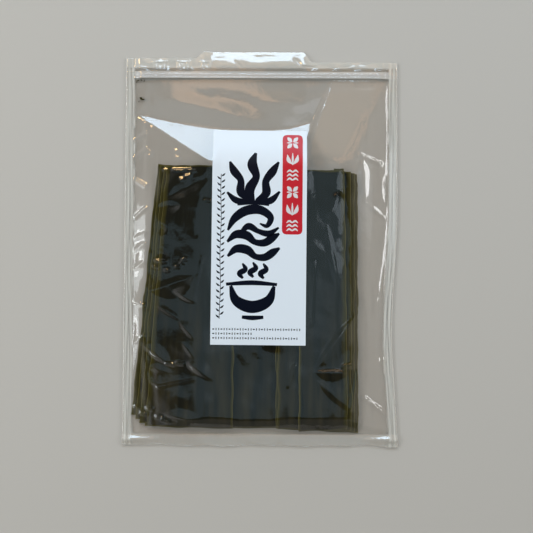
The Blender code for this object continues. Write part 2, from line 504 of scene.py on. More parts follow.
@dataclass(frozen=True)
class PouchShape:
    """Where the pouch's two films lie, in metres. The front film is the upper of two mounds."""

    width: float
    length: float
    zip_y: float
    side_seal: float = 8 * MM
    bottom_seal: float = 10 * MM
    hem_wave: float = 1.0 * MM
    rim: float = 1.8 * MM
    seal_lift: float = 1.2 * MM
    back_curl: float = 14 * MM
    seal_turn: float = 3 * MM
    fold_radius: float = 2.5 * MM
    crease_radius: float = 0.5 * MM
    top_radius: float = 1.2 * MM
    stiff_radius: float = 6 * MM
    stiff_reach: float = 10 * MM
    label_half: float = 37 * MM
    label_x: float = -1.6 * MM

    draw_depth: float = 5 * MM
    draw_centre: float = -74 * MM
    draw_reach: float = 110 * MM

    lip_left: float = -50 * MM
    lip_right: float = 36 * MM
    lip_blend: float = 9 * MM
    left_drop: float = 6 * MM
    right_drop: float = 9.5 * MM

    stack_bottom: float = -160 * MM
    stack_top: float = 74 * MM
    stack_left_at_top: float = -91 * MM
    stack_left_at_bottom: float = -111 * MM
    stack_right: float = 86 * MM
    stack_height: float = 13 * MM
    left_edge_outside: float = 21 * MM
    right_wall_slope: float = 0.55
    right_easy_slope: float = 0.28
    right_edge_height: float = 9.4 * MM
    end_rise: float = 13 * MM
    left_wall_slope: float = 0.38
    left_fan_slope: float = 0.165
    left_shoulder: float = -52 * MM
    edge_outside: float = 2.5 * MM
    edge_radius: float = 0.8 * MM
    thin_corner_x: float = -44 * MM
    thin_corner_length: float = 66 * MM
    gap_centre: float = -4 * MM
    gap_half: float = 21 * MM
    gap_depth: float = 1.6 * MM
    gap_top: float = -70 * MM
    gap_run: float = 42 * MM

    crest_x: float = -44 * MM
    crest_y: float = 71 * MM
    facet_fall: float = 0.29
    facet_lean: float = 0.030
    easy_fall: float = 0.125
    turn_x: float = 40.5 * MM
    turn_y: float = 93 * MM
    turn_lean: float = 0.20
    turn_climb: float = 1.2
    turn_radius: float = 0.25 * MM

    valley_y: float = 102 * MM
    valley_bend_left: float = 1.32
    valley_bend_right: float = 4.8
    head_rise: float = 0.10
    head_fall: float = 0.03
    head_side: float = 0.3
    zip_level: float = 3.4 * MM
    zip_flat: float = 5 * MM
    lip_crest: float = 162 * MM
    lip_height: float = 4.0 * MM
    header_level: float = 2.8 * MM

    @classmethod
    def from_frame(cls) -> PouchShape:
        """Takes the pouch's width and length and the zip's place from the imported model."""
        low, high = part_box("pouch")
        zip_low, zip_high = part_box("zip_track")
        return cls(high.x - low.x, high.y - low.y, (zip_low.y + zip_high.y) / 2)

    @property
    def bottom_line(self) -> float:
        """Inner edge of the bottom seal."""
        return -self.length / 2 + self.bottom_seal

    @property
    def seal_line(self) -> float:
        """Inner edge of the right side seal where it isn't drawn in."""
        return self.width / 2 - self.side_seal

    def draw_in(self, y: Field) -> Field:
        """How far the right seal is pulled in towards the stack."""
        return self.draw_depth * ease(1 - np.abs(y - self.draw_centre) / self.draw_reach)

    def top_drop(self, x: Field) -> Field:
        """How far the top edge falls short of its highest stretch."""
        left = self.left_drop * ease((self.lip_left - x) / self.lip_blend)
        return left + self.right_drop * ease((x - self.lip_right) / self.lip_blend)

    def in_outline(self, x: Field, y: Field) -> tuple[Field, Field]:
        """Moves points of the flat, straight-sided pouch to their places in the filled one."""
        header = self.length / 2 - self.zip_y - self.zip_flat
        above_zip = (y - self.zip_y - self.zip_flat) / header
        drawn = x - self.draw_in(y) * np.maximum(x, 0.0) / (self.width / 2)
        in_seal = ease((self.bottom_line - y) / self.bottom_seal)
        hem = self.hem_wave * waves(x, 0 * x, 34 * MM, 41) * in_seal
        return drawn, y - self.top_drop(x) * np.maximum(above_zip, 0.0) + hem

    def stack_left(self, y: Field) -> Field:
        """Left edge of the kelp stack, which widens towards the bottom seal."""
        share = (self.stack_top - y) / (self.stack_top - self.stack_bottom)
        return mix(self.stack_left_at_top, self.stack_left_at_bottom, np.clip(share, 0, 1))

    def left_slope(self, x: Field, y: Field) -> Field:
        """Film from the left seal up to the stack's edge and on over its fanned, thinner left side."""
        thinning = ease((y - self.stack_top) / self.thin_corner_length + 1)
        edge = self.stack_left(y) - self.edge_outside
        foot = np.maximum(-self.seal_line, edge - self.left_edge_outside)
        steepness = mix(self.left_wall_slope, self.left_fan_slope, thinning)
        edge_height = self.rim + steepness * (edge - foot)
        shoulder = mix(self.left_shoulder, self.thin_corner_x, thinning)
        fan = mix(edge_height, self.stack_height, (x - edge) / (shoulder - edge))
        return lower_of(self.rim + steepness * (x - foot), fan, self.edge_radius)

    def right_slope(self, x: Field, y: Field) -> Field:
        """Film between the stack's right edge and the right seal."""
        foot = self.seal_line - self.draw_in(y)
        wall = self.rim + self.right_wall_slope * (foot - x)
        easy = self.right_edge_height + self.right_easy_slope * (self.stack_right - x)
        return lower_of(wall, easy, self.edge_radius)

    def facet(self, x: Field, y: Field) -> Field:
        """Taut face of film that falls from the stack's top edge to the valley."""
        fall = self.facet_fall * (y - self.crest_y)
        return self.stack_height - fall - self.facet_lean * np.minimum(x - self.crest_x, 0.0)

    def top_slope(self, x: Field, y: Field) -> Field:
        """Film that falls from the stack's top: steeply behind the label, easily to its right."""
        steep = self.facet(x, y)
        turn = self.turn_x + self.turn_lean * np.maximum(y - self.turn_y, 0.0)
        climbing = steep + self.turn_climb * np.maximum(x - turn, 0.0)
        easy = self.stack_height - self.easy_fall * (y - self.crest_y)
        return lower_of(climbing, easy, self.turn_radius)

    def pile_gap(self, x: Field, y: Field) -> Field:
        """Shallow channel in the film where the two piles of sheets leave the middle one bare."""
        across = ease(1.5 - np.abs(x - self.gap_centre) / self.gap_half)
        return self.gap_depth * across * ease((self.gap_top - y) / self.gap_run)

    def stack_mound(self, x: Field, y: Field) -> Field:
        """Film over the kelp stack."""
        bottom = mix(self.rim, self.stack_height, (y - self.bottom_line) / self.end_rise)
        top = self.stack_height - self.pile_gap(x, y)
        left = lower_of(self.left_slope(x, y), self.top_slope(x, y), self.crease_radius)
        stiff = ease((self.label_half - np.abs(x - self.label_x)) / self.stiff_reach + 0.5)
        height = lower_of(top, left, mix(self.top_radius, self.stiff_radius, stiff))
        height = lower_of(height, self.right_slope(x, y), self.fold_radius)
        return lower_of(height, bottom, self.fold_radius)

    def valley(self, x: Field) -> Field:
        """Where the taut face of film meets the empty head of the pouch."""
        return self.valley_y + np.where(x < 0, self.valley_bend_left, self.valley_bend_right) * x * x

    def head_mound(self, x: Field, y: Field) -> Field:
        """Film over the empty head of the pouch, from the valley to the zip."""
        valley = self.valley(x)
        level = np.maximum(self.facet(x, valley), self.rim)
        height = level + self.head_rise * (y - valley)
        falling = self.zip_level + self.head_fall * (self.zip_y - self.zip_flat - y)
        height = lower_of(height, falling, self.fold_radius)
        side = self.rim + self.head_side * (self.seal_line - np.abs(x))
        return lower_of(height, side, self.fold_radius)

    def lip_share(self, x: Field) -> Field:
        """1 along the stretch of the mouth that bulges into a lip, 0 beside it."""
        from_left = ease((x - self.lip_left) / self.lip_blend)
        return from_left * ease((self.lip_right + self.lip_blend - x) / self.lip_blend)

    def header(self, x: Field, y: Field) -> Field:
        """Film over the zip and above it: flat, with one stretch of the mouth bulging into a lip."""
        crest = ease((y - self.zip_y) / (self.lip_crest - self.zip_y))
        fall = (y - self.lip_crest) / (self.length / 2 - self.lip_crest)
        lip = mix(self.zip_level, self.lip_height, crest)
        lip = lower_of(lip, mix(self.lip_height, self.rim, fall), self.crease_radius)
        level = mix(self.zip_level, self.header_level, crest)
        side = self.rim + self.head_side * (self.seal_line - np.abs(x))
        return lower_of(mix(level, lip, self.lip_share(x)), side, self.crease_radius)

    def front(self, x: Field, y: Field) -> Field:
        """Height of the front film before its wrinkles."""
        mound = upper_of(self.stack_mound(x, y), self.head_mound(x, y), self.crease_radius)
        film = np.where(y > self.zip_y - self.zip_flat, self.header(x, y), mound)
        return np.maximum(film, self.rim)

    def back(self, x: Field, y: Field) -> Field:
        """Height of the back film, which lies flat and turns up to the seals and the top edge.

        It turns up sharply beside the stack, and in a long curl where the pouch is empty.
        """
        left = (-x - self.seal_line) / self.seal_turn
        right = (x - self.seal_line + self.draw_in(y)) / self.back_curl + 1
        below = (self.bottom_line - y) / self.seal_turn
        above = (y - self.zip_y) / self.back_curl + 1
        return self.seal_lift * ease(np.maximum(np.maximum(left, right), np.maximum(below, above)))


@dataclass(frozen=True)
class Crease:
    """A straight fold in the film, in millimetres: a ridge, or a groove if its height is negative."""

    start: tuple[float, float]
    end: tuple[float, float]
    height: float
    reach: float

    def lift(self, x: Field, y: Field) -> Field:
        """How far the fold lifts the film at each place, in metres."""
        x, y = x / MM, y / MM
        run = (self.end[0] - self.start[0], self.end[1] - self.start[1])
        along = ((x - self.start[0]) * run[0] + (y - self.start[1]) * run[1]) / (
            run[0] ** 2 + run[1] ** 2
        )
        along = np.clip(along, 0.0, 1.0)
        away = np.hypot(x - self.start[0] - along * run[0], y - self.start[1] - along * run[1])
        return self.height * MM * np.clip(1 - away / self.reach, 0.0, 1.0)


@dataclass(frozen=True)
class Lens:
    """A long facet of film either side of a straight ridge, tapering to both its ends.

    Sizes are in millimetres. A negative height makes the ridge a groove.
    """

    start: tuple[float, float]
    end: tuple[float, float]
    height: float
    left: float
    right: float

    def lift(self, x: Field, y: Field) -> Field:
        """How far the facet lifts the film at each place, in metres."""
        x, y = x / MM - self.start[0], y / MM - self.start[1]
        run = (self.end[0] - self.start[0], self.end[1] - self.start[1])
        length = math.hypot(*run)
        along = (x * run[0] + y * run[1]) / length**2
        away = (y * run[0] - x * run[1]) / length
        reach = np.where(away > 0, self.left, self.right)
        return self.height * MM * np.maximum(4 * along * (1 - along) - np.abs(away) / reach, 0.0)


def crimp_facets() -> list[Lens]:
    """Facets of film crimped in the header and pinched at the bottom seal's corners."""
    return [
        # Crimps left of the mouth's lip: a cross tick over two legs
        *(
            Lens((left + start, y), (left + end, y), height, up, 1.0)
            for left in (-93.6, -72.8, -52.5)
            for start, end, y, height, up in (
                (-1.5, 9.0, 163.2, 0.5, 2.3),
                (-3.0, 5.5, 155.2, 0.95, 8.0),
                (3.0, 13.0, 155.0, 0.95, 7.0),
            )
        ),
        Lens((-118.0, 154.6), (-98.0, 154.6), 0.9, 3.8, 1.2),
        Lens((-114.0, 158.6), (-100.0, 158.6), 0.4, 2.0, 1.2),
        # Pinched loop in the lip, and marks right of it
        Lens((-25.0, 166.0), (-15.5, 155.6), -0.7, 1.6, 1.6),
        Lens((-17.0, 164.2), (-12.6, 155.6), -0.5, 1.4, 1.4),
        Lens((27.0, 168.5), (36.5, 158.5), -0.9, 2.6, 2.6),
        Lens((33.5, 160.5), (50.0, 160.5), 0.9, 4.6, 1.2),
        Lens((43.0, 155.4), (52.0, 155.4), 0.6, 3.0, 1.0),
        Lens((62.0, 156.0), (71.0, 156.0), 0.5, 2.4, 1.0),
        Lens((76.0, 158.0), (86.0, 160.4), 0.5, 2.2, 1.2),
        Lens((84.0, 160.4), (95.0, 158.0), 0.5, 2.2, 1.2),
        Lens((80.0, 155.2), (92.0, 155.2), 0.4, 2.0, 1.0),
        Lens((98.0, 155.6), (112.0, 155.6), 0.6, 3.0, 1.0),
        # Pinched corners of the bottom seal
        Lens((-145.0, -168.8), (-86.0, -167.6), 2.7, 4.6, 2.6),
        Lens((86.0, -167.6), (147.0, -168.8), 2.7, 4.6, 2.6),
    ]


def film_facets() -> list[Lens]:
    """The film's broad facets over the kelp."""
    return [
        # Dent between the stack's upper right corner and the side seal
        Lens((90.6, 38.0), (88.0, 81.0), 0.95, 6, 7),
        Lens((109.4, 34.0), (109.4, 66.0), -0.55, 3.8, 1.5),
        Lens((86.0, 42.5), (113.0, 21.0), 0.62, 3.8, 1.6),
        # Upper part of the left pile
        Lens((-84.8, 40.9), (-45.3, 60.0), -0.50, 8, 8),
        Lens((-90.9, 34.8), (-69.0, 35.2), -0.66, 5, 8.5),
        Lens((-92.7, 18.2), (-81.3, 13.0), -0.5, 4, 6),
        Lens((-94.4, -2.7), (-79.5, -10.5), -0.5, 5.5, 4),
        # Lower part of the left pile
        Lens((-97.1, -39.2), (-56.7, -25.3), -0.9, 5, 14),
        Lens((-76.9, -38.4), (-54.1, -50.5), 0.75, 10, 3),
        Lens((-91.8, -50.5), (-65.5, -66.2), 0.3, 4, 2.5),
        Lens((-70.8, -64.5), (-55.9, -81.9), 0.5, 7.5, 3),
        Lens((-68.1, -82.7), (-56.7, -97.5), 0.3, 4, 2.5),
        Lens((-102.3, -86.2), (-77.8, -103.6), 0.75, 8.5, 3.5),
        Lens((-65.5, -99.3), (-39.2, -116.7), 0.8, 9, 3.5),
        Lens((-99.7, -105.4), (-76.0, -109.7), 0.35, 5, 3),
        Lens((-85.7, -145.4), (-44.5, -154.1), 0.8, 9, 3),
        # Right pile
        Lens((58.0, 22.0), (68.5, 50.0), 0.4, 6.5, 4.8),
        Lens((56.4, 21.7), (66.9, -37.5), 0.4, 3.5, 4.5),
        Lens((46.8, -106.2), (84.5, -55.8), 0.85, 4.5, 12.5),
        Lens((45.9, -108.0), (76.6, -108.0), 0.9, 3, 9),
        Lens((47.6, -115.0), (80.1, -142.8), 0.5, 9, 3.5),
    ]


def film_creases() -> list[Crease]:
    """The film's folds: crimps in its header, puckers at its seals, dents beside the stack."""
    creases = [
        # Marks right of the zip's middle
        Crease((80.5, 146), (84, 143), 0.5, 1.6),
        Crease((98, 147.6), (98, 144), 0.5, 1.6),
        # Outline of the dent between the stack's upper right corner and the side seal
        Crease((86.5, 80.2), (104.0, 73.5), 0.8, 2.6),
        # Folds from the stack's lower right out to the side seal
        Crease((71.0, -103.3), (108.1, -98.6), 0.7, 3.0),
        Crease((84.3, -108), (78.6, -139.2), 0.5, 2.4),
        Crease((90.0, -130.6), (108.1, -144.6), 1.0, 3.0),
        Crease((29.8, -103), (24.0, -120), 0.5, 2.2),
        # Thin upright folds over both piles
        Crease((-54.1, 7.8), (-50.2, -9.6), 0.25, 1.7),
        Crease((-50.2, -9.6), (-54.1, -27.0), 0.25, 1.7),
        Crease((-54.1, -27.0), (-57.6, -46.2), 0.25, 1.7),
        Crease((45.9, -13.1), (44.1, -67.9), 0.22, 2.0),
        # Ribbon over the lower left of the stack
        Crease((-95.3, -116.7), (-88.3, -121.9), 0.3, 1.8),
        Crease((-88.3, -121.9), (-56.7, -115.0), 0.3, 1.8),
        # Fold under the stack
        Crease((-6, -161.6), (76, -162.4), -0.5, 2.2),
    ]
    # Short pinches over the left pile, which catch the warm lamp
    for start, end, height in (
        ((-76.9, 66.4), (-66.5, 66.2), 0.46),
        ((-65.5, 66.6), (-57.5, 65.2), 0.46),
        ((-69.9, 58.6), (-64.6, 57.8), 0.46),
        ((-66.4, 60.6), (-61.5, 62.2), 0.46),
        ((-48.5, 39.6), (-43.4, 38.8), 0.6),
        ((-91.8, -12.4), (-82.2, -13.8), 0.66),
        ((-93.6, -17.6), (-88.3, -18.6), 0.66),
        ((-83.0, -20.8), (-79.4, -21.2), 0.66),
        ((-73.5, -18.0), (-69.7, -18.4), 0.66),
        ((-69.5, -14.8), (-66.2, -15.0), 0.66),
        ((-67.7, -11.6), (-64.0, -12.0), 0.66),
        ((-81.3, -101.4), (-74.3, -102.4), 0.86),
        ((-72.5, -101.2), (-66.3, -101.8), 0.86),
        ((-109.0, -139.2), (-104.0, -140.4), 0.95),
        ((-103.6, -144.3), (-98.7, -145.5), 0.95),
        ((-98.4, -140.2), (-93.4, -141.4), 0.95),
        ((-89.8, -147.2), (-84.7, -148.4), 0.95),
        ((-84.6, -149.5), (-79.4, -150.7), 0.95),
        ((-100.3, 84.2), (-96.5, 83.4), 0.36),
        ((-100.6, 80.4), (-97.6, 79.8), 0.36),
        ((-75.4, 83.6), (-72.1, 82.8), 0.36),
        ((-74.8, 78.2), (-71.2, 77.4), 0.36),
        ((-84.9, 66.4), (-82.0, 65.8), 0.36),
    ):
        creases.append(Crease(start, end, height, 1.75))
    # Legs of the crimps left of the mouth's lip
    for left in (-93.6, -72.8, -52.5):
        creases.append(Crease((left - 1.0, 163.5), (left + 1.5, 155.5), 1.0, 1.75))
        creases.append(Crease((left + 8.5, 163.5), (left + 7.0, 155.5), 1.0, 1.75))
    # Faint lines along the facet behind the label
    for start, end in (((-98, 112.8), (-47, 79)), ((-86, 110), (-47, 85)), ((-76, 108), (-47, 91))):
        creases.append(Crease(start, end, 0.17, 1.3))
    # Puckers along the left seal: middle y and slant
    for middle, slant in (
        (96.7, 3), (81.8, 4), (55.4, -3), (29.1, 4), (8.9, 2), (-0.8, 3), (-16.6, 3), (-50.0, -2), (-81.6, 3)
    ):
        creases.append(Crease((-111, middle - slant), (-101.5, middle + slant), 0.75, 2.4))
    return creases


@dataclass
class PouchFilm:
    """The pouch's film: a wrinkled front and a flat back, closed into one envelope at the seals."""

    shape: PouchShape
    label_box: tuple[Vector, Vector]
    cell: float = 1.16 * MM
    zip_cell: float = 0.4 * MM
    header_cell: float = 0.6 * MM
    rib_offsets: tuple[float, ...] = (0.1 * MM, -2.5 * MM)
    rib_height: float = 0.5 * MM
    rib_reach: float = 1.1 * MM
    fold_depth: float = 10 * MM
    # Height under which a point of the back counts as level, in metres
    level_height: float = 1e-7
    swell_depth: float = 0.26 * MM
    head_depth: float = 0.30 * MM
    gather_depth: float = 0.07 * MM
    # How hazy the seals, the bottom seal and the mouth beside and along its lip are, at most 1; the mouth's
    # lower haze along the lip is painted shade that darkens the curled lip
    seal_tones: tuple[float, float] = (0.62, 0.38)
    foot_tone: float = 0.35
    mouth_haze_and_lip_shade: tuple[float, float] = (0.78, 0.64)
    creases: Sequence[Crease | Lens] = field(
        default_factory=lambda: [*film_creases(), *film_facets(), *crimp_facets()]
    )

    def stations(self) -> tuple[Field, Field]:
        """Grid lines of the front film, closer together at the zip and in the header."""
        shape = self.shape
        half_width, half_length = shape.width / 2, shape.length / 2
        zip_low, zip_high = shape.zip_y - shape.zip_flat, shape.zip_y + shape.zip_flat
        stretches = (
            (-half_length, zip_low, self.cell),
            (zip_low, zip_high, self.zip_cell),
            (zip_high, half_length, self.header_cell),
        )
        rows = [
            np.linspace(low, high, round((high - low) / step), endpoint=False)
            for low, high, step in stretches
        ]
        columns = np.linspace(-half_width, half_width, round(2 * half_width / self.cell) + 1)
        return columns, np.concatenate([*rows, [half_length]])

    def off_label(self, x: Field, y: Field) -> Field:
        """0 where the stiff label holds the film smooth, 1 away from it."""
        low, high = self.label_box
        outside = np.maximum(
            np.maximum(low.x - x, x - high.x), np.maximum(low.y - y, y - high.y)
        )
        return ease(outside / (9 * MM) + 0.3)

    def zip_ribs(self, x: Field, y: Field) -> Field:
        """Lift of the film over the zip's two ribs, which are crushed flat in the side seals."""
        crushed = ease((self.shape.seal_line - np.abs(x)) / (5 * MM))
        lift = np.zeros(x.shape)
        for offset in self.rib_offsets:
            away = np.abs(y - self.shape.zip_y - offset)
            lift = lift + self.rib_height * np.clip(1 - away / self.rib_reach, 0.0, 1.0)
        return lift * mix(0.3, 1.0, crushed)

    def wrinkles(self, x: Field, y: Field) -> Field:
        """Lift of the film's wrinkles at each place."""
        shape = self.shape
        inside = ease((shape.seal_line - np.abs(x)) / (8 * MM))
        below_zip = ease((shape.zip_y - shape.zip_flat - y) / (24 * MM))
        before_head = ease((shape.valley(x) - y) / (5 * MM) + 1)
        on_facet = ease((y - shape.crest_y) / (9 * MM) + 1) * before_head
        calm = 1 - 0.85 * on_facet * ease((shape.turn_x - x) / (6 * MM) + 1)
        free = inside * below_zip * self.off_label(x, y) * calm
        over_stack = ease((shape.stack_top - y) / (20 * MM) + 1)
        swell = self.swell_depth * waves(x, y, 56 * MM, 3)
        swell = swell + mix(0.008, 0.04, over_stack) * MM * waves(x, y, 16 * MM, 8)
        in_head = ease((y - shape.valley(x)) / (10 * MM) - 0.3)
        swell = swell + self.head_depth * waves(0.4 * x, y + 0.12 * x, 30 * MM, 5) * in_head
        sides = ease((np.abs(x) - 84 * MM) / (10 * MM)) * inside
        streaks = mix(0.10, 0.08, ease(x / MM)) * MM * waves(x, 0.12 * y, 7 * MM, 17) * sides
        near_bottom = ease((-118 * MM - y) / (26 * MM)) * ease((y - shape.bottom_line) / (4 * MM))
        gathers = self.gather_depth * waves(x, 0.2 * y, 15 * MM, 23) * near_bottom
        above_zip = ease((y - shape.zip_y - shape.zip_flat) / (3 * MM)) * inside
        rumple = 0.12 * waves(x, 0.5 * y, 12 * MM, 31) + 0.09 * waves(0.3 * x, 1.2 * y, 9 * MM, 37)
        rumple = rumple * MM * above_zip
        lift = swell * free + streaks * below_zip + gathers + rumple
        for crease in self.creases:
            lift = lift + crease.lift(x, y)
        return lift + self.zip_ribs(x, y)

    def front(self, x: Field, y: Field) -> Field:
        """Height of the wrinkled front film."""
        return self.shape.front(x, y) + self.wrinkles(x, y)

    def build(self) -> Piece:
        """Models the film and dresses it."""
        shape = self.shape
        film = grid_piece("pouch_film", *self.stations())
        self.fold_back(film)
        places = points_of(film)
        is_back = places[:, 2] < -shape.rim
        x, y = shape.in_outline(places[:, 0], places[:, 1])
        z = np.where(is_back, shape.back(x, y), self.front(x, y))
        move_points(film, np.stack([x, y, z], axis=1))
        right = shape.draw_in(y) * (x > 0)
        side = np.abs(x) + right
        across = side - shape.seal_line + 0.35 * MM * waves(x, y, 19 * MM, 51)
        plain, uneven = self.seal_tones
        sealed = ease(across / MM + 0.5) * (plain + uneven * waves(6 * side, 0.15 * y, 9 * MM, 53))
        foot = self.foot_tone * ease((shape.bottom_line - y) / MM + 0.5)
        mouth = ease((y - shape.zip_y - shape.zip_flat) / (2 * MM))
        # The mouth is hazy, with less haze along the lip: painted shade that darkens the lip where it mirrors
        # the window
        mouth = mouth * mix(*self.mouth_haze_and_lip_shade, shape.lip_share(x))
        set_attribute(film, "seal", np.maximum(np.maximum(sealed, foot), mouth))
        self.merge_flat_back(film)
        select_only(film)
        bpy.ops.object.shade_smooth()
        finish_piece(film, [LaminatedFilm().material()], "pouch")
        return film

    def fold_back(self, film: Piece) -> None:
        """Gives the flat grid a back of its own, joined to the front all round the rim."""
        select_only(film)
        bpy.ops.object.mode_set(mode="EDIT")
        bpy.ops.mesh.select_all(action="SELECT")
        bpy.ops.mesh.extrude_region_move(TRANSFORM_OT_translate={"value": (0, 0, -self.fold_depth)})
        bpy.ops.mesh.select_all(action="SELECT")
        bpy.ops.mesh.normals_make_consistent(inside=False)
        bpy.ops.object.mode_set(mode="OBJECT")

    def merge_flat_back(self, film: Piece) -> None:
        """Makes the level middle of the back one face, inside a ring of level faces."""
        heights = points_of(film)[:, 2]
        faces = film.data.polygons
        choose_faces(film, [all(heights[v] < self.level_height for v in face.vertices) for face in faces])
        bpy.ops.mesh.select_less()
        bpy.ops.mesh.select_less()
        bpy.ops.mesh.delete(type="FACE")
        bpy.ops.mesh.select_mode(type="EDGE")
        bpy.ops.mesh.select_non_manifold()
        bpy.ops.mesh.edge_face_add()
        bpy.ops.mesh.select_all(action="SELECT")
        bpy.ops.mesh.normals_make_consistent(inside=False)
        bpy.ops.object.mode_set(mode="OBJECT")


# ---------------------------------------------------------------------------------------------
# Kelp
# ---------------------------------------------------------------------------------------------


@dataclass(frozen=True)
class KelpSheet:
    """One sheet of dried kelp. Corners run from the lower left, anticlockwise, in millimetres."""

    name: str
    corners: tuple[tuple[float, float], ...]
    layer: float
    seed: int
    thickness: float = 0.9 * MM
    end_margin_share: float = 4.5
    margin_shares: tuple[float, float] = (1.0, 1.0)
    cells: tuple[int, int] = (56, 110)
    floor_gap: float = 0.4 * MM
    film_gap: float = 0.7 * MM
    least_gap: float = 0.15 * MM
    ripple_depth: float = 0.22 * MM
    dip_depth: float = 0.18 * MM

    def stretched(self, inward: Field, share: float) -> Field:
        """Distance from an edge that grows faster past the cut edge, which narrows the olive margin."""
        return inward + (share - 1) * np.maximum(inward - 0.9 * MM, 0.0)

    def build(self, shape: PouchShape, finish: Material) -> Piece:
        """Models the sheet under the film and dresses it.

        Args:
            shape: The pouch, whose front film the sheet stays under.
            finish: The kelp's material.

        Returns:
            The finished sheet.
        """
        sheet = grid_piece(self.name, *(np.linspace(0, 1, count + 1) for count in self.cells))
        flat = points_of(sheet)
        u, v = flat[:, 0], flat[:, 1]
        corner = np.array(self.corners) * MM
        sides = [mix(corner[0], corner[3], v[:, None]), mix(corner[1], corner[2], v[:, None])]
        plan = mix(sides[0], sides[1], u[:, None])
        x, y = plan[:, 0], plan[:, 1]
        ragged = 0.5 * MM * waves(0 * y, y, 30 * MM, self.seed)
        ragged = ragged + 0.15 * MM * waves(0 * y, y, 7 * MM, self.seed + 1)
        x = x + ragged * (2 * u - 1) ** 6
        y = y + 0.4 * MM * waves(x, 0 * x, 22 * MM, self.seed + 2) * (2 * v - 1) ** 8
        width = np.hypot(*(corner[1] - corner[0]))
        length = np.hypot(*(corner[3] - corner[0]))
        floor = self.floor_gap + self.thickness
        ceiling = shape.front(x, y) - self.film_gap
        height = mix(floor, np.maximum(ceiling, floor), self.layer)
        height = height + self.ripple_depth * waves(x, 0.25 * y, 9 * MM, self.seed + 3) * (self.layer < 1)
        height = height - self.dip_depth * (1 + waves(x, 0.2 * y, 12 * MM, self.seed + 4))
        height = np.maximum(height, self.thickness + self.least_gap)
        move_points(sheet, np.stack([x, y, height], axis=1))
        ends = self.stretched(np.minimum(v, 1 - v) * length, self.end_margin_share)
        left = self.stretched(u * width, self.margin_shares[0])
        right = self.stretched((1 - u) * width, self.margin_shares[1])
        set_attribute(sheet, "from_margin", np.minimum(np.minimum(left, right), ends))
        set_uv(sheet, np.stack([u * width + self.seed * 0.37, v * length], axis=1))
        thicken(sheet, self.thickness, -1.0)
        smooth_to_edges(sheet)
        finish_piece(sheet, [finish])
        return sheet


@dataclass
class KelpStack:
    """Two piles of kelp sheets side by side on a middle one."""

    shape: PouchShape
    sheets: tuple[KelpSheet, ...] = (
        KelpSheet("kelp_middle_low", ((-60, -156), (58, -158), (56, 60), (-58, 62)), 0.25, 11),
        KelpSheet("kelp_middle_top", ((-46, -158), (50, -157), (48, 64), (-44, 66)), 0.52, 12),
        KelpSheet(
            "kelp_left_4", ((-112.2, -147), (-40, -155), (-36, 66), (-91.0, 72.7)), 0.40, 21,
            margin_shares=(1.0, 3.0),
        ),
        KelpSheet(
            "kelp_left_3", ((-108.5, -150.4), (-29.8, -157), (-28, 68), (-88.6, 72.0)), 0.62, 22,
            margin_shares=(1.0, 3.0),
        ),
        KelpSheet(
            "kelp_left_2", ((-105, -153.6), (-26.6, -158), (-25, 69), (-85.6, 71.4)), 0.82, 23,
            margin_shares=(1.0, 3.0),
        ),
        KelpSheet(
            "kelp_left_1", ((-100, -155.9), (-23.6, -158), (-22, 70), (-82.8, 70.6)), 1.0, 24,
            margin_shares=(1.0, 3.0),
        ),
        KelpSheet(
            "kelp_right_tab", ((60, 30), (72.2, 30), (72.2, 69.2), (63.5, 68.8)), 0.30, 35,
            cells=(12, 40),
        ),
        KelpSheet(
            "kelp_right_4", ((20, -159), (85.6, -161.7), (84.3, 64.3), (22, 66)), 0.40, 31,
            margin_shares=(1.6, 1.0),
        ),
        KelpSheet(
            "kelp_right_3", ((13.9, -157.7), (82.6, -160.5), (81.5, 65.0), (13.0, 68.9)), 0.62, 32,
            margin_shares=(1.6, 1.0),
        ),
        KelpSheet(
            "kelp_right_2", ((15.4, -158.2), (79.4, -159.2), (78.0, 66.0), (15.0, 68.0)), 0.82, 33,
            margin_shares=(3.5, 1.0),
        ),
        KelpSheet(
            "kelp_right_1", ((33.6, -160.4), (75.8, -158.4), (72.4, 65.4), (33.0, 66.8)), 1.0, 34,
            margin_shares=(3.5, 1.0),
        ),
    )

    def build(self) -> None:
        """Models and dresses every sheet."""
        finish = DriedKelp().material()
        for sheet in self.sheets:
            sheet.build(self.shape, finish)


@dataclass
class KelpCrumbs:
    """Small flakes of kelp that lie loose in the head of the pouch: middle x, y, length, turn."""

    shape: PouchShape
    flakes: tuple[tuple[float, float, float, float], ...] = (
        (-109.4, 146.9, 2.6, 0.2),
        (-106.6, 147.3, 2.2, -0.4),
        (-104.0, 146.6, 1.7, 0.9),
        (-110.6, 145.6, 1.6, 1.2),
        (-106.4, 131.0, 3.6, -0.9),
        (-104.6, 130.2, 3.2, 0.1),
        (-108.4, 128.2, 1.2, 0.6),
    )
    thickness: float = 0.4 * MM
    # The height that they lie at, how far their points stray from it, and the corners' raggedness, in mm
    height: float = 1.6
    tilt: float = 0.3
    ragged: tuple[float, float] = (0.6, 1.2)
    # Far enough inwards to take the blade's colour, in metres
    from_margin: float = 0.002

    def build(self) -> Piece:
        """Models the flakes as one piece and dresses it."""
        draw = np.random.default_rng(7)
        flakes = []
        for x, y, length, turn in self.flakes:
            deselect_all()
            bpy.ops.mesh.primitive_circle_add(vertices=9, radius=1, fill_type="NGON")
            flake = bpy.context.active_object
            places = points_of(flake)
            ragged = draw.uniform(*self.ragged, len(places))
            along = places[:, 0] * ragged * length / 2
            across = places[:, 1] * ragged * length / 4
            places[:, 0] = x + along * math.cos(turn) - across * math.sin(turn)
            places[:, 1] = y + along * math.sin(turn) + across * math.cos(turn)
            places[:, 2] = self.height + self.tilt * draw.uniform(-1, 1, len(places))
            move_points(flake, places * MM)
            flakes.append(flake)
        crumbs = join_pieces(flakes, "kelp_crumbs")
        thicken(crumbs, self.thickness, -1.0)
        flat = points_of(crumbs)
        set_uv(crumbs, flat[:, :2])
        set_attribute(crumbs, "from_margin", np.full(len(flat), self.from_margin))
        finish_piece(crumbs, [DriedKelp().material()])
        return crumbs


# ---------------------------------------------------------------------------------------------
# Zip and label
# ---------------------------------------------------------------------------------------------


